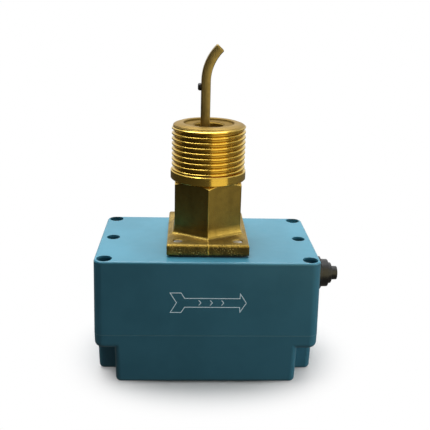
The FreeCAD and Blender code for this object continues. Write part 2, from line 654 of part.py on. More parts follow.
# ---- earth, range adjuster and cable entry ----------------------------------------------------
def ground_washer():
    ring = rod_y(M4_R + 2.2, EAR_IN - 0.9, EAR_IN, GROUND_SCREW_X, Z_FACE - GROUND_SCREW_DROP)
    return ring.cut(rod_y(M4_R + CLEARANCE_HOLE, EAR_IN - 2, EAR_IN + 1, GROUND_SCREW_X,
                          Z_FACE - GROUND_SCREW_DROP))


def ground_screw():
    screw = pan_screw(M4_R, 0.9 + FRAME_THICK + 1.0, PAN_HEAD_R, PAN_HEAD_H)
    return placed(screw, GROUND_SCREW_X, EAR_IN - 0.9, Z_FACE - GROUND_SCREW_DROP, AXIS_Y)


def range_screw():
    screw = pan_screw(RANGE_SCREW_R, RANGE_SCREW_LENGTH + FACE_GAP, RANGE_SCREW_HEAD_R,
                      RANGE_SCREW_HEAD_H, 1.2)
    return placed(screw, SPRING_X, 0, Z_SHELF - FACE_GAP)


def range_screw_clip():
    return placed(clip(RANGE_SCREW_R + FIT, CLIP_R), SPRING_X, 0, Z_SHELF + FRAME_THICK + FACE_GAP)


def spring_nut():
    half = NUT_SIDE / 2
    nut = block(SPRING_X - half, SPRING_X + half, -half, EAR_IN - 2 * FACE_GAP, Z_NUT, Z_NUT + NUT_THICK)
    return nut.cut(rod_z(RANGE_SCREW_R + NUT_RUNNING, Z_NUT - 1, Z_NUT + NUT_THICK + 1, SPRING_X))


def range_spring():
    """Compression spring between the nut and the rocker's arm."""
    low = Z_NUT + NUT_THICK + SPRING_WIRE_R
    high = Z_PIVOT - ROCKER_BELOW - SPRING_WIRE_R
    pitch = (high - low) / SPRING_TURNS
    helix = Part.makeHelix(pitch, high - low, SPRING_COIL_R)
    circle = Part.Wire(Part.makeCircle(SPRING_WIRE_R, Vector(SPRING_COIL_R, 0, 0), AXIS_Y))
    coil = Part.Wire(helix).makePipeShell([circle], True, True)
    coil.translate(Vector(SPRING_X, 0, low))
    return coil


def cable_grommet():
    """Stepped rubber cone that snaps into the side wall; its hollow follows the steps."""
    half_x, _ = case_half(Z_ENTRY)
    wall_out = half_x + GROMMET_SEAT_GAP
    wall_in = half_x - CASE_WALL - GROMMET_SEAT_GAP
    inner_r = GROMMET_STEPS[0][0] - GROMMET_WALL
    outline = [(inner_r, wall_in - 1.6), (GROMMET_FLANGE_R, wall_in - 1.6), (GROMMET_FLANGE_R, wall_in),
               (ENTRY_HOLE_R - FIT, wall_in), (ENTRY_HOLE_R - FIT, wall_out),
               (GROMMET_FLANGE_R, wall_out), (GROMMET_FLANGE_R, wall_out + GROMMET_FLANGE_THICK)]
    x = wall_out + GROMMET_FLANGE_THICK
    inside = [(inner_r, wall_in)]
    for r, length in GROMMET_STEPS:
        outline += [(r, x), (r, x + length)]
        x += length
    for (r, length), (next_r, _) in zip(GROMMET_STEPS, GROMMET_STEPS[1:]):
        reach = inside[-1][1] if len(inside) > 1 else wall_out + GROMMET_FLANGE_THICK - GROMMET_WALL
        inside += [(r - GROMMET_WALL, reach + length)]
        step_bore = next_r - GROMMET_WALL if next_r != GROMMET_STEPS[-1][0] else GROMMET_BORE_R
        inside += [(step_bore, reach + length)]
    inside.append((GROMMET_BORE_R, x))
    points = [Vector(px, 0, r) for r, px in outline + inside[::-1]]
    face = Part.Face(Part.makePolygon(points + points[:1]))
    grommet = face.revolve(Vector(0, 0, 0), AXIS_X, 360)
    grommet.translate(Vector(0, CASE_Y, Z_ENTRY))
    return grommet


# ---- write one file per piece -----------------------------------------------------------------
PIECES = {
    "enclosure_base": enclosure_base,
    "enclosure_cover": enclosure_cover,
    "cover_gasket": cover_gasket,
    "threaded_inserts": threaded_inserts,
    "cover_screws": cover_screws,
    "pipe_fitting": pipe_fitting,
    "flange_gasket": flange_gasket,
    "flange_screws": flange_screws,
    "seal_plate": seal_plate,
    "seal_ring": seal_ring,
    "bellows": bellows,
    "bellows_cap": bellows_cap,
    "lever_rod": lever_rod,
    "paddle_screw": paddle_screw,
    "rocker": rocker,
    "rocker_set_screw": rocker_set_screw,
    "mechanism_frame": mechanism_frame,
    "pivot_pin": pivot_pin,
    "pivot_clips": pivot_clips,
    "switch_body": switch_body,
    "switch_plunger": switch_plunger,
    "switch_screws": switch_screws,
    "switch_insulator": switch_insulator,
    "terminal_screws": terminal_screws,
    "ground_washer": ground_washer,
    "ground_screw": ground_screw,
    "range_screw": range_screw,
    "range_screw_clip": range_screw_clip,
    "spring_nut": spring_nut,
    "range_spring": range_spring,
    "cable_grommet": cable_grommet,
}
TERMINALS = {"terminal_normally_open": -1, "terminal_common": 0, "terminal_normally_closed": 1}


def write(name, made):
    shape = Part.makeCompound(made) if isinstance(made, list) else made
    if not shape.isValid():
        raise ValueError(name + " is not a valid solid")
    shape.exportStep(os.path.join("parts", name + ".step"))
    print(name, len(shape.Solids), round(shape.Volume, 1))


def main():
    os.makedirs("parts", exist_ok=True)
    for name, make in PIECES.items():
        write(name, make())
    for name, index in TERMINALS.items():
        write(name, terminal(index))


main()
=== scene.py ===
"""Paddle flow switch, standing on its cover, brass pipe fitting up. Lengths are in metres."""

import math

import bmesh
import bpy
from mathutils import Matrix, Vector


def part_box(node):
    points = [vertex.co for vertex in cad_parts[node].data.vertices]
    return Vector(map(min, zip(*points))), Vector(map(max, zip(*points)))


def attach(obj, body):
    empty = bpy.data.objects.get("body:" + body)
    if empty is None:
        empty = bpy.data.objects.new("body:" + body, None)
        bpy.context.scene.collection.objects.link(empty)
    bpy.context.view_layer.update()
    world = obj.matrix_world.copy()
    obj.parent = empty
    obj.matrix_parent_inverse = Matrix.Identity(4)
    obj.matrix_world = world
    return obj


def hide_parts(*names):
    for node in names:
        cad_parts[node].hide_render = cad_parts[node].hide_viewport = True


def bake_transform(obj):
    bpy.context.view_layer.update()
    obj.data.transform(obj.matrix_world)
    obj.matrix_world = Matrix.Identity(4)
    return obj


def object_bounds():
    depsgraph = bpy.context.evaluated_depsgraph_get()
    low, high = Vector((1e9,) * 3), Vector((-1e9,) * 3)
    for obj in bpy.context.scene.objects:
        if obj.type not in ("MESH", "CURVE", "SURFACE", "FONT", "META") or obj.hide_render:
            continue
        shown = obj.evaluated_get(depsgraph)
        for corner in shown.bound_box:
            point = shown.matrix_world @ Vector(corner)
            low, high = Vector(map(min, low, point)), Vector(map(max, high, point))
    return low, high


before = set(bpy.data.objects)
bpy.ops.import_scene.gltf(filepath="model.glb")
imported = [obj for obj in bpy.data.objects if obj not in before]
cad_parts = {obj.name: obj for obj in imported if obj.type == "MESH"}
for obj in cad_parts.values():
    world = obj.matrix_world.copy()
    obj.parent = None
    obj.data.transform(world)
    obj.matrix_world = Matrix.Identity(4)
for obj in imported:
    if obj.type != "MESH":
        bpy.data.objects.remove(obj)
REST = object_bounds()

MM = 0.001
CASE_LO, CASE_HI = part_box("enclosure_base")
FIT_LO, FIT_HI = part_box("pipe_fitting")
ROD_LO, ROD_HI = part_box("lever_rod")

# ---- sizes of the pieces modelled here --------------------------------------------------------
BASE_HEIGHT = 34.8 * MM         # from the base's outer face down to the parting line
WALL_X = (47.5 * MM, 48.5 * MM)     # where the case's outer walls begin, from its middle
WALL_Y = (29.0 * MM, 30.0 * MM)
FLANGE_THICK = 5.1 * MM
FLANGE_CORNER = 4.6 * MM
FLANGE_EDGE = 1.1 * MM
SCREW_HOLE_R = 2.05 * MM
SCREW_HOLE_MOUTH_R = 2.6 * MM
SCREW_HEAD_R = 3.6 * MM
FORGING_VOXEL = 0.36 * MM       # runs the forging's parts into one skin
HEX_FLATS = 30.0 * MM
HEX_FLARE = [(32.8 * MM, 0.0), (31.6 * MM, 0.6 * MM), (30.9 * MM, 1.5 * MM),
             (30.4 * MM, 2.6 * MM), (30.0 * MM, 4.2 * MM)]      # flats, height above the flange
THREAD_PITCH = 2.309 * MM
THREAD_DEPTH = 1.0 * MM         # as worn and blunted as the real one looks
THREAD_CREST = 0.54 * MM
THREAD_R = 16.6 * MM
THREAD_ROOT_R = THREAD_R - THREAD_DEPTH
THREAD_TURNS = 13               # more than are needed; the ends are cut off level
COLLAR_R = 17.08 * MM
THREAD_LENGTH = 21.27 * MM      # from the collar to the end face
COLLAR_LENGTH = 3.9 * MM
COLLAR_CONE = 1.0 * MM
LIP_HEIGHT = 1.4 * MM
LIP_WIDTH = 2.9 * MM
RECESS_R = 11.2 * MM
RECESS_DEPTH = 1.0 * MM
THROAT_R = 6.6 * MM
THROAT_LENGTH = 19.0 * MM
CHAMBER_R = 10.5 * MM
CHAMBER_CONE = 3.0 * MM
SEAT_R = 13.4 * MM
SEAT_DEPTH = 3.0 * MM
ROD_BEND_R = 20.0 * MM
ROD_BEND = math.radians(43.0)
ROD_TIP = 1.2 * MM
ROD_TIP_SHARE = 0.98           # ends just inside its solid's box
ROD_THICK = 4.2 * MM
ROD_EDGE = 0.55 * MM
ROD_X = ROD_LO.x + ROD_THICK / 2
SCREW_SLOT = 0.7 * MM
GROMMET_FLANGE = (9.5, 1.8)     # the grommet's sizes are in millimetres: radius, length
GROMMET_STEPS = ((8.1, 3.3), (6.7, 3.6), (5.1, 1.7), (3.35, 3.0))
GROMMET_DRAFT = 0.12
GROMMET_WALL = 1.4
GROMMET_TIP_HOLE_R = 2.0
GROMMET_BORE_R = 6.7
GROMMET_HOLLOW = (4.2, 6.0, 9.0)    # where the hollow widens, back from the tip
GROMMET_GROOVE = (7.9, 1.6)
FLANGE_TOP = FIT_LO.z + FLANGE_THICK
THREAD_FOOT = FIT_HI.z - THREAD_LENGTH
COLLAR_FOOT = THREAD_FOOT - COLLAR_LENGTH
CONE_FOOT = COLLAR_FOOT - COLLAR_CONE
CORNER = HEX_FLATS / math.sqrt(3)
CHAMFER_SLOPE = 0.67
CHAMFER_FOOT = COLLAR_FOOT - CHAMFER_SLOPE * (CORNER - HEX_FLATS / 2)   # at the corners
SLACK = 0.02 * MM               # keeps a piece just inside its solid's box
WELD = 1e-7


# ---- modelling --------------------------------------------------------------------------------
def only(obj):
    bpy.ops.object.select_all(action="DESELECT")
    obj.select_set(True)
    bpy.context.view_layer.objects.active = obj


def named(name):
    obj = bpy.context.object
    obj.name = name
    obj.data.name = name
    return obj


def settle(obj):
    """Writes the object's own place and turn into its mesh."""
    only(obj)
    bpy.ops.object.transform_apply(location=True, rotation=True, scale=True)
    return obj


def modify(obj, kind, **settings):
    only(obj)
    modifier = obj.modifiers.new(kind.title(), kind)
    for key, value in settings.items():
        setattr(modifier, key, value)
    bpy.ops.object.modifier_apply(modifier=modifier.name)
    return obj


def boolean(obj, tool, operation):
    modify(obj, "BOOLEAN", object=tool, operation=operation, solver="EXACT")
    bpy.data.objects.remove(tool)


def outward(obj):
    only(obj)
    bpy.ops.object.mode_set(mode="EDIT")
    bpy.ops.mesh.select_all(action="SELECT")
    bpy.ops.mesh.remove_doubles(threshold=WELD)
    bpy.ops.mesh.normals_make_consistent(inside=False)
    bpy.ops.object.mode_set(mode="OBJECT")
    return obj


def smooth(obj, degrees):
    only(obj)
    bpy.ops.object.shade_smooth_by_angle(angle=math.radians(degrees))


def bevel(obj, width, segments, degrees):
    modify(obj, "BEVEL", width=width, segments=segments, limit_method="ANGLE",
           angle_limit=math.radians(degrees), miter_outer="MITER_ARC", harden_normals=False)


def block(name, lo, hi):
    bpy.ops.mesh.primitive_cube_add(size=1.0, location=(Vector(lo) + Vector(hi)) / 2)
    obj = named(name)
    obj.scale = Vector(hi) - Vector(lo)
    return settle(obj)


def hexagon(name, flats, z0, z1, flats_top=None):
    """A six-sided bar, given across its flats; the first corner points along +Y."""
    share = 2 * math.cos(math.pi / 6)
    bpy.ops.mesh.primitive_cone_add(vertices=6, radius1=flats / share,
                                    radius2=(flats_top or flats) / share, depth=z1 - z0,
                                    location=(0, 0, (z0 + z1) / 2))
    return settle(named(name))


def line(name, points):
    """A chain of edges through the points, drawn from one corner."""
    bpy.ops.mesh.primitive_plane_add(size=MM, location=points[0])
    obj = named(name)
    bpy.ops.object.mode_set(mode="EDIT")
    bpy.ops.mesh.select_mode(type="VERT")
    bpy.ops.mesh.select_all(action="SELECT")
    bpy.ops.mesh.merge(type="CENTER")
    for here, there in zip(points, points[1:]):
        bpy.ops.mesh.extrude_vertices_move(
            TRANSFORM_OT_translate={"value": Vector(there) - Vector(here)})
    bpy.ops.object.mode_set(mode="OBJECT")
    return settle(obj)


def swept(obj, steps, **settings):
    """Turns a chain of edges about Z."""
    return modify(obj, "SCREW", axis="Z", angle=2 * math.pi, steps=steps, render_steps=steps,
                  use_merge_vertices=True, merge_threshold=WELD, **settings)


def turned(name, outline, segments=128, loop=False):
    """A solid of revolution about Z from (radius, height) points; loop closes a ring's outline."""
    points = [(r, 0.0, z) for r, z in outline]
    obj = line(name, points + points[:1] if loop else points)
    if loop:
        outward(obj)
    return outward(swept(obj, segments, use_smooth_shade=False))


def stood(obj, place, axis):
    """Takes a piece made about Z and lays it along another axis at a place."""
    obj.rotation_mode = "QUATERNION"
    obj.rotation_quaternion = Vector(axis).to_track_quat("Z", "Y")
    obj.location = place
    settle(obj)


def join(first, *others):
    only(first)
    for obj in others:
        obj.select_set(True)
    bpy.ops.object.join()
    return first


def faces_where(obj, test):
    """In edit mode, selects the faces whose centre and normal pass the test."""
    bpy.ops.mesh.select_mode(type="FACE")
    bpy.ops.mesh.select_all(action="DESELECT")
    mesh = bmesh.from_edit_mesh(obj.data)
    for face in mesh.faces:
        face.select = test(face.calc_center_median(), face.normal)
    mesh.select_flush_mode()
    bmesh.update_edit_mesh(obj.data)


def looks_up(_, normal):
    return normal.z > 0.9


def finish_piece(obj, body, replaced, material):
    obj.data.materials.clear()
    obj.data.materials.append(material)
    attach(obj, body)
    if replaced:
        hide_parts(*replaced)


# ---- materials --------------------------------------------------------------------------------
class Value:
    """A number or colour in a shader graph; arithmetic on it adds Math nodes."""

    def __init__(self, graph, socket):
        self.graph = graph
        self.socket = socket

    def math(self, operation, *others):
        return self.graph.add("ShaderNodeMath", {"operation": operation},
                              dict(enumerate((self,) + others)))

    def __add__(self, other):
        return self.math("ADD", other)

    def __mul__(self, other):
        return self.math("MULTIPLY", other)

    def __sub__(self, other):
        return self.math("SUBTRACT", other)

    def __rsub__(self, other):
        return (self * -1.0) + other

    def __pow__(self, other):
        return self.math("POWER", other)

    def step(self, low, high, out_low=0.0, out_high=1.0):
        """Smooth change from out_low at low to out_high at high."""
        return self.graph.add("ShaderNodeMapRange", {"interpolation_type": "SMOOTHSTEP"},
                              {"Value": self, "From Min": low, "From Max": high,
                               "To Min": out_low, "To Max": out_high})

    def fall(self, low, high):
        """1 up to low, 0 from high on."""
        return self.step(low, high, 1.0, 0.0)


class Graph:
    """The nodes of one shader tree."""

    def __init__(self, tree):
        self.tree = tree

    def feed(self, socket, value):
        if isinstance(value, Value):
            self.tree.links.new(value.socket, socket)
        else:
            socket.default_value = value

    def add(self, kind, settings, sockets, out=0):
        node = self.tree.nodes.new(kind)
        for key, value in settings.items():
            setattr(node, key, value)
        for key, value in sockets.items():
            self.feed(node.inputs[key], value)
        return Value(self, node.outputs[out])

    def mix(self, share, first, second):
        return self.add("ShaderNodeMix", {"data_type": "RGBA"},
                        {0: share, 6: first, 7: second}, 2)

    def seen(self):
        """1 for rays from the eye, mirrored ones too; 0 for bounced light."""
        camera = self.add("ShaderNodeLightPath", {}, {}, "Is Camera Ray")
        rays = camera.socket.node.outputs
        both = camera + Value(self, rays["Is Glossy Ray"])
        return (both + Value(self, rays["Is Transmission Ray"])).math("MINIMUM", 1.0)


class Paint(Graph):
    """A material with one Principled shader."""

    def __init__(self, name, **fixed):
        self.material = bpy.data.materials.new(name)
        self.material.use_nodes = True
        super().__init__(self.material.node_tree)
        self.shader = next(n for n in self.tree.nodes if n.type == "BSDF_PRINCIPLED")
        self.output = next(n for n in self.tree.nodes if n.type == "OUTPUT_MATERIAL")
        self.set(**fixed)
        self.where = self.add("ShaderNodeTexCoord", {}, {}, "Object")
        self.x = self.add("ShaderNodeSeparateXYZ", {}, {"Vector": self.where}, "X")
        axes = self.x.socket.node.outputs
        self.y = Value(self, axes["Y"])
        self.z = Value(self, axes["Z"])

    def set(self, **sockets):
        for key, value in sockets.items():
            self.feed(self.shader.inputs[key.replace("_", " ")], value)

    def show(self, shader):
        """Shows another shader in place of the Principled one."""
        self.tree.links.new(shader.socket, self.output.inputs["Surface"])

    def stretched(self, x, y, z):
        return self.add("ShaderNodeVectorMath", {"operation": "MULTIPLY"},
                        {0: self.where, 1: (x, y, z)})

    def noise(self, per_metre, detail, rough, where=None):
        return self.add("ShaderNodeTexNoise", {},
                        {"Vector": where or self.where, "Scale": per_metre, "Detail": detail,
                         "Roughness": rough})

    def cells(self, per_metre):
        """Distance to the nearest of scattered points."""
        return self.add("ShaderNodeTexVoronoi", {"feature": "F1"},
                        {"Vector": self.where, "Scale": per_metre}, "Distance")

    def rounded(self, radius):
        return self.add("ShaderNodeBevel", {"samples": 4}, {"Radius": radius})

    def bump(self, height, distance, strength, normal=None):
        sockets = {"Height": height, "Distance": distance, "Strength": strength}
        if normal:
            sockets["Normal"] = normal
        return self.add("ShaderNodeBump", {}, sockets)

    def radius(self):
        return (self.x * self.x + self.y * self.y) ** 0.5


def colour(r, g, b):
    return (r, g, b, 1.0)


WHITE = colour(1.0, 1.0, 1.0)


def housing_shade_and_seam(paint, tone, base):
    """Painted shade in the corner pockets and holes, and a pale line where base and cover meet."""
    down = CASE_HI.z - paint.z
    off = (paint.y - (CASE_LO.y + CASE_HI.y) / 2).math("ABSOLUTE")
    pocket_shade = down.step(0.4 * MM, 1.4 * MM) * down.fall(5.0 * MM, 9.0 * MM)
    pocket_shade = pocket_shade * paint.x.math("ABSOLUTE").fall(*WALL_X) * off.fall(*WALL_Y)
    # painted shade: the pockets' walls are mixed towards a near-black copy of the plastic
    tone = paint.mix(pocket_shade * 0.75, tone, colour(*(c * 0.15 for c in base)))
    seam = (down - BASE_HEIGHT).math("ABSOLUTE").fall(0.10 * MM, 0.26 * MM)
    return paint.mix(seam * 0.55, tone, colour(0.22, 0.50, 0.58))


def moulded_plastic(name, base, roughness, edge=0.0, tone_shift=0.12, marks=None):
    """Fine-grained plastic; worn is how far its colour drifts, edge rounds its shading."""
    paint = Paint(name, IOR=1.48)
    drift = paint.noise(38.0, 3.0, 0.6)
    speck = paint.noise(900.0, 2.0, 0.6)
    scuff = paint.noise(120.0, 4.0, 0.65, paint.stretched(1.0, 6.0, 3.0)).step(0.56, 0.70)
    dark = colour(*(c * (1 - tone_shift) for c in base))
    light = colour(*(min(1.0, c * (1 + tone_shift) + 0.004) for c in base))
    tone = paint.mix(drift.step(0.35, 0.65), dark, light)
    tone = paint.mix(speck.step(0.62, 0.75) * 0.25, tone, light)
    # for the housing, marks paints shade into the pockets and a pale seam line
    if marks:
        tone = marks(paint, tone, base)
    skin = paint.noise(1900.0, 3.0, 0.6) * 0.7 + paint.noise(260.0, 2.0, 0.5) * 0.3
    normal = paint.rounded(edge) if edge else None
    paint.set(Base_Color=tone,
              Roughness=paint.noise(210.0, 3.0, 0.6) * 0.10 + scuff * 0.07 + (roughness - 0.06),
              Normal=paint.bump(skin, 0.06 * MM, 0.35, normal))
    return paint.material


def cast_brass():
    """Forged skin: olive brown, grained and pitted low down, smoother on the hexagon."""
    paint = Paint("forged_brass", Metallic=1.0)
    low = paint.z.step(FLANGE_TOP - 0.5 * MM, FLANGE_TOP + 1.4 * MM, 1.0, 0.30)
    skin = paint.z.step(FLANGE_TOP + 2.0 * MM, FLANGE_TOP + 5.0 * MM)
    patch = paint.noise(110.0, 4.0, 0.62)
    grain = paint.noise(900.0, 4.0, 0.62)
    streak = paint.noise(240.0, 3.0, 0.6, paint.stretched(1.0, 1.0, 0.22))
    pits = paint.cells(430.0).step(0.16, 0.32)
    fine_pits = paint.cells(1150.0).step(0.14, 0.34)
    bright, dull = colour(0.60, 0.42, 0.095), colour(0.30, 0.205, 0.045)
    olive, pit_brown = colour(0.150, 0.108, 0.030), colour(0.12, 0.075, 0.022)
    flange_side_shade, spark = colour(0.055, 0.038, 0.016), colour(0.95, 0.70, 0.26)
    deck_dark, fresh = colour(0.085, 0.060, 0.020), colour(0.80, 0.55, 0.12)
    tone = paint.mix(patch.step(0.38, 0.62) * 0.6 + streak.step(0.4, 0.65) * 0.3, bright, dull)
    tone = paint.mix(skin * 0.72, tone, olive)
    tone = paint.mix((1 - fine_pits) * low * 0.8, tone, pit_brown)
    # painted shade: the flange's sides, below its top edge, are darkened
    shaded_rim = paint.z.fall(FLANGE_TOP - 1.3 * MM, FLANGE_TOP - 0.7 * MM)
    tone = paint.mix(shaded_rim * (patch.step(0.4, 0.6) * 0.25 + 0.62), tone, flange_side_shade)
    # painted glints: scattered bright specks on the flange's shaded sides
    glint = paint.noise(1500.0, 2.0, 0.7).step(0.56, 0.66)
    glint = glint * shaded_rim * paint.noise(130.0, 2.0, 0.5).step(0.45, 0.6)
    tone = paint.mix(glint, tone, spark)
    deck = paint.z.step(FLANGE_TOP - 0.5 * MM, FLANGE_TOP - 0.15 * MM)
    deck = deck * paint.z.fall(FLANGE_TOP + 0.15 * MM, FLANGE_TOP + 0.6 * MM)
    tone = paint.mix(deck * (patch * 0.5 + 0.35), tone, deck_dark)
    # the forging seam down the hexagon's front corner: its ridge is real, in the bump; its lighter
    # tone is a painted highlight
    seam = paint.x.math("ABSOLUTE").fall(0.1 * MM, 0.5 * MM)
    cone = paint.radius() * CHAMFER_SLOPE + paint.z - (CHAMFER_FOOT + CHAMFER_SLOPE * CORNER)
    cut = cone.step(-0.30 * MM, -0.12 * MM)
    tone = paint.mix(seam * (low * 0.5 + 0.35), tone, bright)
    tone = paint.mix(cut, tone, fresh)
    height = (grain * 0.9 + fine_pits * 0.9 + pits * 0.4) * low + streak * 0.30 + seam * 0.9
    paint.set(Base_Color=tone,
              Roughness=grain * 0.16 + patch * 0.14 + low * 0.08 + deck * 0.14 + 0.17,
              Normal=paint.bump(height, 0.22 * MM, 0.55))
    return paint.material


def cut_brass():
    """Machined and threaded brass: bright crests, browner roots, fine turning marks."""
    paint = Paint("machined_brass", Metallic=1.0)
    radius = paint.radius()
    crest = radius.step(THREAD_ROOT_R, THREAD_R - 0.25 * MM)
    patch = paint.noise(70.0, 4.0, 0.6)
    mark = paint.noise(1500.0, 2.0, 0.5, paint.stretched(0.12, 0.12, 3.0))
    drag = paint.noise(420.0, 3.0, 0.6, paint.stretched(1.0, 1.0, 0.5))
    bright, dull = colour(0.74, 0.51, 0.10), colour(0.48, 0.31, 0.050)
    root_brown, shade_brown = colour(0.32, 0.19, 0.026), colour(0.16, 0.105, 0.030)
    tone = paint.mix(patch.step(0.35, 0.7) * 0.45, bright, dull)
    tone = paint.mix((1 - crest) * 0.65, tone, root_brown)
    inside = radius.fall(RECESS_R, RECESS_R + 0.5 * MM)
    shaded_rim = paint.z.step(FIT_HI.z - LIP_HEIGHT - 0.1 * MM, FIT_HI.z - LIP_HEIGHT + 0.2 * MM)
    low = paint.z.fall(THREAD_FOOT - 0.3 * MM, THREAD_FOOT)
    # painted shade: the lip's chamfer is darkened against its bright reflection; the recess floor
    # and the collar are made darker too
    tone_shift = shaded_rim * (patch * 0.5 + 0.42) + inside * 0.2 + low * 0.25
    tone = paint.mix(tone_shift, tone, shade_brown)
    rough = mark * 0.07 + drag * 0.08 + (1 - crest) * 0.10 + shaded_rim * 0.20 + inside * 0.25 + 0.10
    paint.set(Base_Color=tone, Roughness=rough,
              Normal=paint.bump(mark * 0.6 + drag * 0.4, 0.05 * MM, 0.45))
    return paint.material


def drawn_bronze():
    """The lever: dull brown green bar with drawing lines."""
    paint = Paint("drawn_bronze", Metallic=1.0)
    along = paint.noise(1400.0, 3.0, 0.6, paint.stretched(1.0, 1.0, 0.06))
    patch = paint.noise(150.0, 3.0, 0.6)
    tone = paint.mix(patch.step(0.35, 0.65), colour(0.31, 0.232, 0.086), colour(0.22, 0.165, 0.062))
    tone = paint.mix(along.step(0.5, 0.7) * 0.35, tone, colour(0.46, 0.34, 0.13))
    paint.set(Base_Color=tone, Roughness=along * 0.16 + patch * 0.10 + 0.26,
              Normal=paint.bump(along, 0.08 * MM, 0.5))
    return paint.material


def black_rubber(name="black_rubber"):
    paint = Paint(name, IOR=1.52)
    bloom = paint.noise(150.0, 4.0, 0.6)
    grain = paint.noise(1600.0, 3.0, 0.6)
    tone = paint.mix(bloom.step(0.4, 0.7), colour(0.004, 0.004, 0.004), colour(0.011, 0.011, 0.012))
    paint.set(Base_Color=tone, Roughness=bloom * 0.16 + 0.27,
              Normal=paint.bump(grain, 0.05 * MM, 0.4))
    return paint.material


def metal(name, bright, dull, roughness, lay=(1.0, 1.0, 0.08)):
    """Plated, drawn or stamped metal for the small parts."""
    paint = Paint(name, Metallic=1.0)
    lines = paint.noise(1800.0, 3.0, 0.6, paint.stretched(*lay))
    patch = paint.noise(170.0, 3.0, 0.6)
    tone = paint.mix(patch.step(0.3, 0.7) * 0.7 + lines * 0.3, colour(*bright), colour(*dull))
    paint.set(Base_Color=tone, Roughness=lines * 0.12 + patch * 0.12 + (roughness - 0.12),
              Normal=paint.bump(lines, 0.04 * MM, 0.5))
    return paint.material


def paper():
    paint = Paint("pressed_sheet")
    fibre = paint.noise(1300.0, 4.0, 0.7, paint.stretched(0.2, 1.0, 1.0))
    tone = paint.mix(fibre.step(0.35, 0.65), colour(0.42, 0.36, 0.26), colour(0.55, 0.49, 0.37))
    paint.set(Base_Color=tone, Roughness=fibre * 0.2 + 0.55,
              Normal=paint.bump(fibre, 0.08 * MM, 0.5))
    return paint.material


def glowing_print_ink():
    # painted light: the print glows a little, so it stays pale on the shaded front wall
    paint = Paint("pale_glowing_print", Emission_Strength=0.32, Emission_Color=colour(0.55, 0.72, 0.76))
    cover = paint.noise(1100.0, 3.0, 0.6)
    tone = paint.mix(cover.step(0.42, 0.62) * 0.5, colour(0.86, 0.93, 0.94),
                     colour(0.62, 0.76, 0.79))
    paint.set(Base_Color=tone, Roughness=cover * 0.2 + 0.35,
              Normal=paint.bump(cover, 0.02 * MM, 0.3))
    return paint.material


TEAL = moulded_plastic("housing_plastic", (0.064, 0.288, 0.405), 0.36, edge=0.35 * MM,
                       tone_shift=0.05, marks=housing_shade_and_seam)
FORGED = cast_brass()
MACHINED = cut_brass()
BRONZE = drawn_bronze()
RUBBER = black_rubber()
GASKET = black_rubber("gasket_rubber")
ZINC = metal("zinc_steel", (0.66, 0.67, 0.68), (0.48, 0.48, 0.47), 0.34)
BLACK_STEEL = metal("black_steel", (0.055, 0.055, 0.058), (0.022, 0.022, 0.024), 0.38)
BELLOWS = metal("bellows_bronze", (0.62, 0.40, 0.19), (0.42, 0.26, 0.11), 0.30)
SPRING = metal("spring_steel", (0.60, 0.61, 0.62), (0.40, 0.40, 0.40), 0.28)
TIN_BRASS = metal("terminal_brass", (0.72, 0.57, 0.30), (0.55, 0.42, 0.20), 0.30)
PHENOLIC = moulded_plastic("switch_black", (0.020, 0.020, 0.022), 0.42, tone_shift=0.3)
RED = moulded_plastic("plunger_red", (0.42, 0.030, 0.022), 0.30)
SHEET = paper()
GLOWING_PRINT = glowing_print_ink()

FINISH = (
    (TEAL, ("enclosure_base", "enclosure_cover")),
    (GASKET, ("cover_gasket", "flange_gasket", "seal_ring")),
    (TIN_BRASS, ("threaded_inserts", "seal_plate", "terminal_common", "terminal_normally_open",
                 "terminal_normally_closed", "spring_nut")),
    (ZINC, ("cover_screws", "flange_screws", "rocker", "mechanism_frame", "switch_screws",
            "terminal_screws", "ground_screw", "ground_washer", "range_screw")),
    (BELLOWS, ("bellows", "bellows_cap")),
    (SPRING, ("pivot_pin", "pivot_clips", "range_screw_clip", "range_spring")),
    (BLACK_STEEL, ("rocker_set_screw", "paddle_screw")),
    (PHENOLIC, ("switch_body",)),
    (RED, ("switch_plunger",)),
    (SHEET, ("switch_insulator",)),
    (FORGED, ("pipe_fitting",)),
    (BRONZE, ("lever_rod",)),
    (RUBBER, ("cable_grommet",)),
)
for finish, nodes in FINISH:
    for node in nodes:
        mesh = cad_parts[node].data
        mesh.materials.clear()
        mesh.materials.append(finish)


# ---- the pipe fitting -------------------------------------------------------------------------

def fitting_bore():
    """The water way, as a solid to cut away."""
    top = FIT_HI.z
    below = FIT_LO.z - MM
    seat = FIT_LO.z + SEAT_DEPTH
    throat = top - THROAT_LENGTH
    recess = top - RECESS_DEPTH
    return turned("bore", [
        (0, below), (SEAT_R, below), (SEAT_R, seat), (CHAMBER_R, seat),
        (CHAMBER_R, throat - CHAMBER_CONE), (THROAT_R, throat), (THROAT_R, recess - 0.5 * MM),
        (THROAT_R + 0.5 * MM, recess), (RECESS_R - 0.3 * MM, recess),
        (RECESS_R, recess + 0.3 * MM), (RECESS_R, top - 0.35 * MM),
        (RECESS_R + 0.5 * MM, top + 0.15 * MM), (RECESS_R + 0.5 * MM, top + MM), (0, top + MM)])


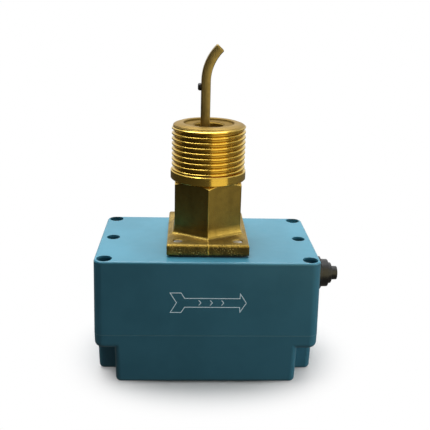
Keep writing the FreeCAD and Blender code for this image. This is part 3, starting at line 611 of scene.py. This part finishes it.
def fitting_body():
    """Forged flange, hexagon and cone; the parts run into each other with soft corners."""
    half = (FIT_HI - FIT_LO) / 2
    flange = block("fitting_body", (-half.x, -half.y, FIT_LO.z), (half.x, half.y, FLANGE_TOP))
    bpy.ops.object.mode_set(mode="EDIT")
    bpy.ops.mesh.select_all(action="DESELECT")
    mesh = bmesh.from_edit_mesh(flange.data)
    for edge in mesh.edges:     # the upright ones
        edge.select = abs(edge.verts[0].co.z - edge.verts[1].co.z) > MM
    bmesh.update_edit_mesh(flange.data)
    bpy.ops.mesh.bevel(offset=FLANGE_CORNER, segments=8, affect="EDGES")
    faces_where(flange, looks_up)
    bpy.ops.mesh.bevel(offset=FLANGE_EDGE, segments=4, affect="EDGES")
    bpy.ops.object.mode_set(mode="OBJECT")

    foot_top = FLANGE_TOP + HEX_FLARE[-1][1]
    foot = hexagon("foot", HEX_FLARE[0][0], FLANGE_TOP - MM, FLANGE_TOP)
    for (low_flats, low), (high_flats, high) in zip(HEX_FLARE, HEX_FLARE[1:]):
        boolean(foot, hexagon("flare", low_flats, FLANGE_TOP + low - 0.01 * MM,
                              FLANGE_TOP + high, high_flats), "UNION")
    nut = hexagon("nut", HEX_FLATS, foot_top - 0.5 * MM, COLLAR_FOOT + MM)
    boolean(nut, turned("trim", [
        (0, foot_top - MM), (CORNER + MM, foot_top - MM),
        (CORNER + MM, CHAMFER_FOOT - CHAMFER_SLOPE * MM),
        (HEX_FLATS / 2, COLLAR_FOOT), (0, COLLAR_FOOT)], 96), "INTERSECT")
    body = join(flange, foot, nut)
    modify(body, "REMESH", mode="VOXEL", voxel_size=FORGING_VOXEL, adaptivity=0.0)
    modify(body, "SMOOTH", factor=0.5, iterations=2)
    boolean(body, fitting_bore(), "DIFFERENCE")
    lo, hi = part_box("flange_screws")
    reach = (hi - lo) / 2 - Vector((SCREW_HEAD_R, SCREW_HEAD_R, 0))
    for sx in (-1, 1):
        for sy in (-1, 1):
            hole = turned("hole", [
                (0, FIT_LO.z - MM), (SCREW_HOLE_R, FIT_LO.z - MM),
                (SCREW_HOLE_R, FLANGE_TOP - 0.35 * MM), (SCREW_HOLE_MOUTH_R, FLANGE_TOP + 0.2 * MM),
                (SCREW_HOLE_MOUTH_R, FLANGE_TOP + 4 * MM), (0, FLANGE_TOP + 4 * MM)], 40)
            hole.location = (sx * reach.x, sy * reach.y, 0)
            boolean(body, settle(hole), "DIFFERENCE")
    smooth(body, 38)
    finish_piece(body, "housing", ["pipe_fitting"], FORGED)


def thread_spiral():
    """Solid rod with one spiral groove, cut off level beyond both ends of the thread."""
    flank = (THREAD_PITCH - 2 * THREAD_CREST) / 2
    rise = THREAD_CREST + flank
    fall = 2 * THREAD_CREST + flank
    soft = 0.07 * MM
    half = soft / 2
    profile = [(THREAD_ROOT_R, 0.0), (THREAD_ROOT_R, THREAD_CREST - half),
               (THREAD_ROOT_R + soft, THREAD_CREST + half), (THREAD_R - soft, rise - half),
               (THREAD_R, rise + half), (THREAD_R, fall - half), (THREAD_R - soft, fall + half),
               (THREAD_ROOT_R + soft, THREAD_PITCH - half), (THREAD_ROOT_R, THREAD_PITCH)]
    start = THREAD_FOOT - 2 * THREAD_PITCH
    spiral = line("fitting_thread", [(r, 0.0, start + z) for r, z in profile])
    outward(swept(spiral, 128, iterations=THREAD_TURNS, screw_offset=THREAD_PITCH))
    bpy.ops.object.mode_set(mode="EDIT")
    for level, upper in ((THREAD_FOOT - MM, False), (FIT_HI.z + MM, True)):
        bpy.ops.mesh.select_all(action="SELECT")
        bpy.ops.mesh.bisect(plane_co=(0, 0, level), plane_no=(0, 0, 1), use_fill=True,
                            clear_outer=upper, clear_inner=not upper)
    bpy.ops.object.mode_set(mode="OBJECT")
    return outward(spiral)


def fitting_thread():
    """Collar and pipe thread; the groove runs out at both ends."""
    spiral = thread_spiral()
    top = FIT_HI.z
    foot = THREAD_FOOT - 0.5 * MM
    lip_r = THREAD_R - LIP_WIDTH
    boolean(spiral, turned("envelope", [
        (0, foot), (THREAD_R + MM, foot), (THREAD_R + MM, top - LIP_HEIGHT - 0.7 * MM),
        (THREAD_R - 0.1 * MM, top - LIP_HEIGHT), (THREAD_R - 0.9 * MM, top - 0.75 * MM),
        (lip_r, top - 0.08 * MM), (lip_r - 0.6 * MM, top), (0, top)]), "INTERSECT")
    boolean(spiral, turned("collar", [
        (0, CONE_FOOT), (HEX_FLATS / 2 - 0.1 * MM, CONE_FOOT),
        (COLLAR_R - 0.2 * MM, COLLAR_FOOT - 0.12 * MM), (COLLAR_R, COLLAR_FOOT + 0.12 * MM),
        (COLLAR_R, THREAD_FOOT - 0.35 * MM), (COLLAR_R - 0.35 * MM, THREAD_FOOT),
        (THREAD_ROOT_R + 0.1 * MM, THREAD_FOOT + 0.25 * MM),
        (0, THREAD_FOOT + 0.25 * MM)]), "UNION")
    boolean(spiral, turned("lip", [
        (0, top - 2.4 * MM), (THREAD_ROOT_R + 0.45 * MM, top - 2.4 * MM),
        (THREAD_ROOT_R + 0.45 * MM, top - 1.15 * MM), (lip_r, top - 0.1 * MM),
        (0, top - 0.1 * MM)]), "UNION")
    boolean(spiral, fitting_bore(), "DIFFERENCE")
    smooth(outward(spiral), 24)
    finish_piece(spiral, "housing", ["pipe_fitting"], MACHINED)


# ---- the lever --------------------------------------------------------------------------------
def lever_rod():
    """Square bar with soft edges, bent near its end and sawn off square."""
    reach = (ROD_BEND_R + ROD_THICK / 2) * math.sin(ROD_BEND)
    bend_at = ROD_HI.z - reach - ROD_TIP * math.cos(ROD_BEND)
    half_x = ROD_THICK / 2 - SLACK
    half_y = (ROD_HI.y - ROD_LO.y) / 2 - SLACK
    bar = block("lever_bar", (ROD_X - half_x, -half_y, ROD_LO.z),
                (ROD_X + half_x, half_y, bend_at))
    bpy.ops.object.mode_set(mode="EDIT")
    faces_where(bar, looks_up)
    bpy.ops.mesh.spin(steps=14, angle=-ROD_BEND, center=(ROD_X + ROD_BEND_R, 0, bend_at),
                      axis=(0, 1, 0))
    tip = Vector((math.sin(ROD_BEND), 0, math.cos(ROD_BEND))) * ROD_TIP * ROD_TIP_SHARE
    bpy.ops.mesh.extrude_region_move(TRANSFORM_OT_translate={"value": tip})
    bpy.ops.object.mode_set(mode="OBJECT")
    outward(bar)
    bevel(bar, ROD_EDGE, 3, 50)
    smooth(bar, 40)
    finish_piece(bar, "lever", ["lever_rod"], BRONZE)


def pan_head(name, radius, height, shank, length):
    """Pan head and shank about Z, head up, slotted."""
    head = turned(name, [
        (0, -length), (shank - 0.2 * MM, -length), (shank, 0.3 * MM - length), (shank, 0),
        (radius, 0), (radius, height * 0.45), (radius * 0.93, height * 0.75),
        (radius * 0.74, height * 0.95), (radius * 0.4, height), (0, height)], 48)
    half = SCREW_SLOT / 2
    slot = block("slot", (-half, -2 * radius, height * 0.5), (half, 2 * radius, height * 2))
    slot.rotation_euler = (0, 0, math.radians(35))
    boolean(head, settle(slot), "DIFFERENCE")
    return head


def paddle_screw():
    lo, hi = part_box("paddle_screw")
    height = 1.4 * MM
    radius = (hi.y - lo.y) / 2
    head = pan_head("paddle_clamp_screw", radius, height, 1.45 * MM, ROD_THICK - 0.1 * MM)
    stood(head, (lo.x + height, 0, (lo.z + hi.z) / 2), (-1, 0, 0))
    bevel(head, 0.08 * MM, 2, 40)
    smooth(head, 35)
    finish_piece(head, "lever", ["paddle_screw"], BLACK_STEEL)


# ---- the cable entry --------------------------------------------------------------------------
def cable_grommet():
    """Stepped rubber cone; the cable would be pushed through after cutting a step to size."""
    lo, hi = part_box("cable_grommet")
    flange_r, flange_thick = GROMMET_FLANGE
    seat = (hi.x - lo.x) / MM - (sum(step for _, step in GROMMET_STEPS) + flange_thick)
    reach = seat + flange_thick
    skin = [(flange_r, seat), (flange_r, reach)]
    for radius, step in GROMMET_STEPS:
        skin += [(radius, reach), (radius - GROMMET_DRAFT, reach + step)]
        reach += step
    tip, second, third = (reach - depth for depth in GROMMET_HOLLOW)
    wide, narrow = (radius - GROMMET_WALL for radius, _ in GROMMET_STEPS[1:3])
    groove_r, inner_thick = GROMMET_GROOVE
    skin += [(GROMMET_TIP_HOLE_R, reach), (GROMMET_TIP_HOLE_R, tip), (narrow, tip),
             (narrow, second), (wide, second), (wide, third), (GROMMET_BORE_R, third),
             (GROMMET_BORE_R, 0.0), (flange_r, 0.0), (flange_r, inner_thick),
             (groove_r, inner_thick), (groove_r, seat)]
    cone = turned("cable_cone", [(r * MM, x * MM) for r, x in skin], 96, loop=True)
    stood(cone, (lo.x, (lo.y + hi.y) / 2, (lo.z + hi.z) / 2), (1, 0, 0))
    bevel(cone, 0.30 * MM, 3, 40)
    smooth(cone, 30)
    finish_piece(cone, "housing", ["cable_grommet"], RUBBER)


# ---- the bellows and the range spring ---------------------------------------------------------
def bellows_tube():
    """Thin folded tube in the place of the bellows."""
    lo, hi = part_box("bellows")
    folds, fold_depth, cuff, wall = 9, 1.7 * MM, 1.2 * MM, 0.35 * MM
    radius = (hi.x - lo.x) / 2 - 0.03 * MM
    neck = radius - fold_depth
    step = (hi.z - lo.z - 2 * cuff) / folds
    skin = [(neck, lo.z), (neck, lo.z + cuff)]
    for fold in range(folds):
        z = lo.z + cuff + fold * step
        skin += [(radius, z + 0.35 * step), (radius, z + 0.65 * step), (neck, z + step)]
    skin.append((neck, hi.z))
    tube = turned("bellows_tube", skin + [(r - wall, z) for r, z in reversed(skin)], 64, loop=True)
    middle = (lo.x + hi.x) / 2
    tube.location.x = middle
    settle(tube)
    smooth(tube, 30)
    tube.data.materials.append(BELLOWS)
    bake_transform(tube)
    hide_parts("bellows")


def half_coil(name, z, pitch, turns, centre, wire, radius):
    bpy.ops.mesh.primitive_circle_add(vertices=14, radius=wire, location=(radius, 0, z),
                                      rotation=(math.radians(90), 0, 0))
    coil = swept(settle(named(name)), 40, iterations=turns, screw_offset=pitch)
    bpy.ops.object.mode_set(mode="EDIT")
    bpy.ops.mesh.select_all(action="SELECT")
    bpy.ops.mesh.fill_holes(sides=0)
    bpy.ops.object.mode_set(mode="OBJECT")
    outward(coil)
    coil.location = (centre.x, centre.y, 0)
    settle(coil)
    smooth(coil, 40)
    coil.data.materials.append(SPRING)
    return coil


def range_coil():
    """Compression spring in two halves, one above the other."""
    lo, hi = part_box("range_spring")
    wire, turns = 0.39 * MM, 3
    radius = (hi.x - lo.x) / 2 - wire - SLACK
    centre = (lo + hi) / 2
    pitch = (hi.z - lo.z - 2 * wire - 2 * SLACK) / (2 * turns)
    foot = lo.z + wire + SLACK
    lower = half_coil("range_coil_lower", foot, pitch, turns, centre, wire, radius)
    upper = half_coil("range_coil_upper", foot + turns * pitch, pitch, turns, centre, wire, radius)
    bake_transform(lower)
    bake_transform(upper)
    for coil in (lower, upper):
        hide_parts("range_spring")


# ---- the flow arrow, without its words --------------------------------------------------------
def plate(name, outline):
    """A flat face inside an outline of (x, z) points in millimetres, at y = 0."""
    mesh = bpy.data.meshes.new(name)
    mesh.from_pydata([(x * MM, 0.0, z * MM) for x, z in outline], [], [range(len(outline))])
    obj = bpy.data.objects.new(name, mesh)
    bpy.context.scene.collection.objects.link(obj)
    only(obj)
    return obj


def ribbon(name, outline, width):
    """A flat band of even width just inside an outline."""
    obj = plate(name, outline)
    bpy.ops.object.mode_set(mode="EDIT")
    bpy.ops.mesh.select_mode(type="FACE")
    bpy.ops.mesh.select_all(action="SELECT")
    bpy.ops.mesh.inset(thickness=width * MM, use_boundary=True, use_even_offset=True)
    bpy.ops.mesh.delete(type="FACE")
    bpy.ops.object.mode_set(mode="OBJECT")
    return obj


def flow_arrow():
    """Thin pale outline on the front wall that points with the flow, and three chevrons in it."""
    shaft, barb, width = 2.25, 4.8, 0.30
    outline = [(-16.5, -barb), (-11.4, -barb), (-9.9, -shaft), (14.1, -shaft), (14.3, -barb),
               (17.3, 0.0), (14.3, barb), (14.1, shaft), (-9.9, shaft), (-11.4, barb),
               (-16.6, barb), (-13.7, 0.0)]
    parts = [ribbon("flow_arrow", outline, width)]
    tall, wide, thick = 1.15, 0.95, 0.42
    for middle in (-3.0, 2.0, 7.0):
        back = middle - wide
        parts.append(plate("chevron", [
            (back, -tall), (back + thick, -tall), (middle + thick, 0.0),
            (back + thick, tall), (back, tall), (middle, 0.0)]))
    arrow = join(*parts)
    draft = math.radians(1.0)
    front = CASE_LO.y + 0.02 * MM
    sink = 0.035 * MM
    height = 40.0 * MM
    arrow.rotation_euler = (-draft, 0, 0)
    arrow.location = (0, front + (height - CASE_LO.z) * math.tan(draft) - sink, height)
    settle(arrow)
    modify(arrow, "SOLIDIFY", thickness=0.03 * MM, offset=0.0)
    outward(arrow)
    finish_piece(arrow, "housing", [], GLOWING_PRINT)


fitting_body()
fitting_thread()
lever_rod()
paddle_screw()
cable_grommet()
bellows_tube()
range_coil()
flow_arrow()


# ---- camera -----------------------------------------------------------------------------------
CAMERA_PLACE = (-0.0097, -0.2951, 0.1675)
CAMERA_YAW, CAMERA_TILT, CAMERA_ROLL = 2.603, 18.158, 1.5       # degrees
SENSOR_WIDTH, CAMERA_LENS = 36.0, 55.71         # millimetres


def turn(axis, degrees):
    return Matrix.Rotation(math.radians(degrees), 3, axis)


def add_camera():
    """Level with the fitting and tilted down, with a slight roll."""
    level = Matrix(((1, 0, 0), (0, 0, -1), (0, 1, 0)))
    rows = turn("Z", CAMERA_ROLL) @ turn("X", CAMERA_TILT) @ level @ turn("Z", CAMERA_YAW)
    right, up, back = rows[0], -rows[1], -rows[2]
    camera = bpy.data.objects.new("camera", bpy.data.cameras.new("camera"))
    bpy.context.scene.collection.objects.link(camera)
    camera.matrix_world = Matrix((right, up, back)).transposed().to_4x4()
    camera.location = CAMERA_PLACE
    camera.data.sensor_width = SENSOR_WIDTH
    camera.data.lens = CAMERA_LENS
    camera.data.clip_start = 0.01
    bpy.context.scene.camera = camera


# ---- light and backdrop -----------------------------------------------------------------------
DIM = colour(0.05, 0.05, 0.05)
CLOTH = (colour(0.045, 0.040, 0.032), colour(0.20, 0.19, 0.165))        # at -X and at +X
TABLE = (colour(0.06, 0.055, 0.045), colour(0.24, 0.23, 0.20))
PANEL = colour(1.40, 1.24, 0.74)
TENT_R, TENT_HEIGHT, TENT_BACK = 1.0, 1.1, 0.30         # no cloth behind TENT_BACK
PANEL_AWAY, PANEL_HEIGHT = 0.24, 0.5
PANEL_AT, PANEL_HALF = math.radians(33.0), math.radians(25.0)       # right of -Y, and half span
SHADOW_NEAR, SHADOW_FAR, SHADOW_SQUEEZE = 0.032, 0.062, 0.80


def glow(name, centre, aim, size, power):
    light = bpy.data.lights.new(name, "AREA")
    light.shape = "RECTANGLE"
    light.size, light.size_y = size
    light.energy = power
    obj = bpy.data.objects.new(name, light)
    bpy.context.scene.collection.objects.link(obj)
    obj.location = centre
    obj.rotation_mode = "QUATERNION"
    obj.rotation_quaternion = (Vector(aim) - Vector(centre)).to_track_quat("-Z", "Y")


def add_surround():
    """White to the eye and to reflections, dark to bounced light."""
    world = bpy.data.worlds.new("surround")
    world.use_nodes = True
    world.node_tree.nodes.clear()
    graph = Graph(world.node_tree)
    shade = graph.mix(graph.seen(), colour(0.064, 0.067, 0.070), WHITE)
    back = graph.add("ShaderNodeBackground", {}, {"Strength": 1.0, "Color": shade})
    out = graph.tree.nodes.new("ShaderNodeOutputWorld")
    graph.tree.links.new(back.socket, out.inputs["Surface"])
    bpy.context.scene.world = world


def add_floor():
    """Takes the shadow close to the part and is plain white farther out."""
    bpy.ops.mesh.primitive_plane_add(size=12.0, location=(0, 0, REST[0].z - 0.2 * MM))
    floor = named("floor")
    paint = Paint("floor", Roughness=0.9, Specular_IOR_Level=0.0)
    seen = paint.seen()
    paint.set(Base_Color=paint.mix(seen, DIM, colour(0.9, 0.9, 0.9)))
    plain = paint.add("ShaderNodeEmission", {}, {"Color": paint.mix(seen, DIM, WHITE)})
    wide = paint.x * SHADOW_SQUEEZE
    deep = paint.y - (CASE_LO.y + CASE_HI.y) / 2
    far = ((wide * wide + deep * deep) ** 0.5).step(SHADOW_NEAR, SHADOW_FAR)
    body = Value(paint, paint.shader.outputs[0])
    paint.show(paint.add("ShaderNodeMixShader", {}, {0: far, 1: body, 2: plain}))
    floor.data.materials.append(paint.material)


def reflected_only(obj, left, right):
    """Shown to reflections alone; its glow runs from one level at -X to another at +X."""
    obj.visible_camera = False
    obj.visible_diffuse = False
    obj.visible_shadow = False
    obj.visible_transmission = False
    paint = Paint(obj.name)
    tone = paint.mix(paint.x.step(-0.5, 0.5), left, right)
    paint.show(paint.add("ShaderNodeEmission", {}, {"Color": tone}))
    obj.data.materials.append(paint.material)


def add_tent():
    """Dark cloth round the front and on the table, and a pale panel front right, for the brass."""
    bpy.ops.mesh.primitive_cylinder_add(vertices=96, radius=TENT_R, depth=TENT_HEIGHT,
                                        end_fill_type="NOTHING",
                                        location=(0, 0, TENT_HEIGHT / 2))
    cloth = settle(named("tent"))
    bpy.ops.object.mode_set(mode="EDIT")
    faces_where(cloth, lambda centre, _: centre.y > TENT_BACK)
    bpy.ops.mesh.delete(type="FACE")
    bpy.ops.object.mode_set(mode="OBJECT")
    reflected_only(cloth, *CLOTH)
    bpy.ops.mesh.primitive_circle_add(vertices=96, radius=TENT_R, fill_type="NGON",
                                      location=(0, 0, REST[0].z - 0.1 * MM))
    reflected_only(settle(named("table_cloth")), *TABLE)
    bpy.ops.mesh.primitive_plane_add(size=1.0, location=(
        PANEL_AWAY * math.sin(PANEL_AT), -PANEL_AWAY * math.cos(PANEL_AT), PANEL_HEIGHT / 2))
    panel = named("pale_panel")
    panel.rotation_euler = (math.radians(90), 0, PANEL_AT)
    panel.scale = (2 * PANEL_AWAY * math.tan(PANEL_HALF), PANEL_HEIGHT, 1)
    reflected_only(settle(panel), PANEL, PANEL)


add_camera()
add_surround()
add_floor()
add_tent()
glow("overhead", centre=(-0.10, 0.22, 0.95), aim=(0.0, 0.0, 0.06), size=(0.9, 0.7), power=12.0)
glow("front_fill", centre=(0.27, -0.27, 0.27), aim=(0.0, 0.0, 0.04), size=(0.16, 0.16),
     power=0.235)
glow("right_fill", centre=(0.95, -0.20, 0.22), aim=(0.05, 0.0, 0.03), size=(0.5, 0.4), power=2.0)

scene = bpy.context.scene
scene.view_settings.view_transform = "Standard"
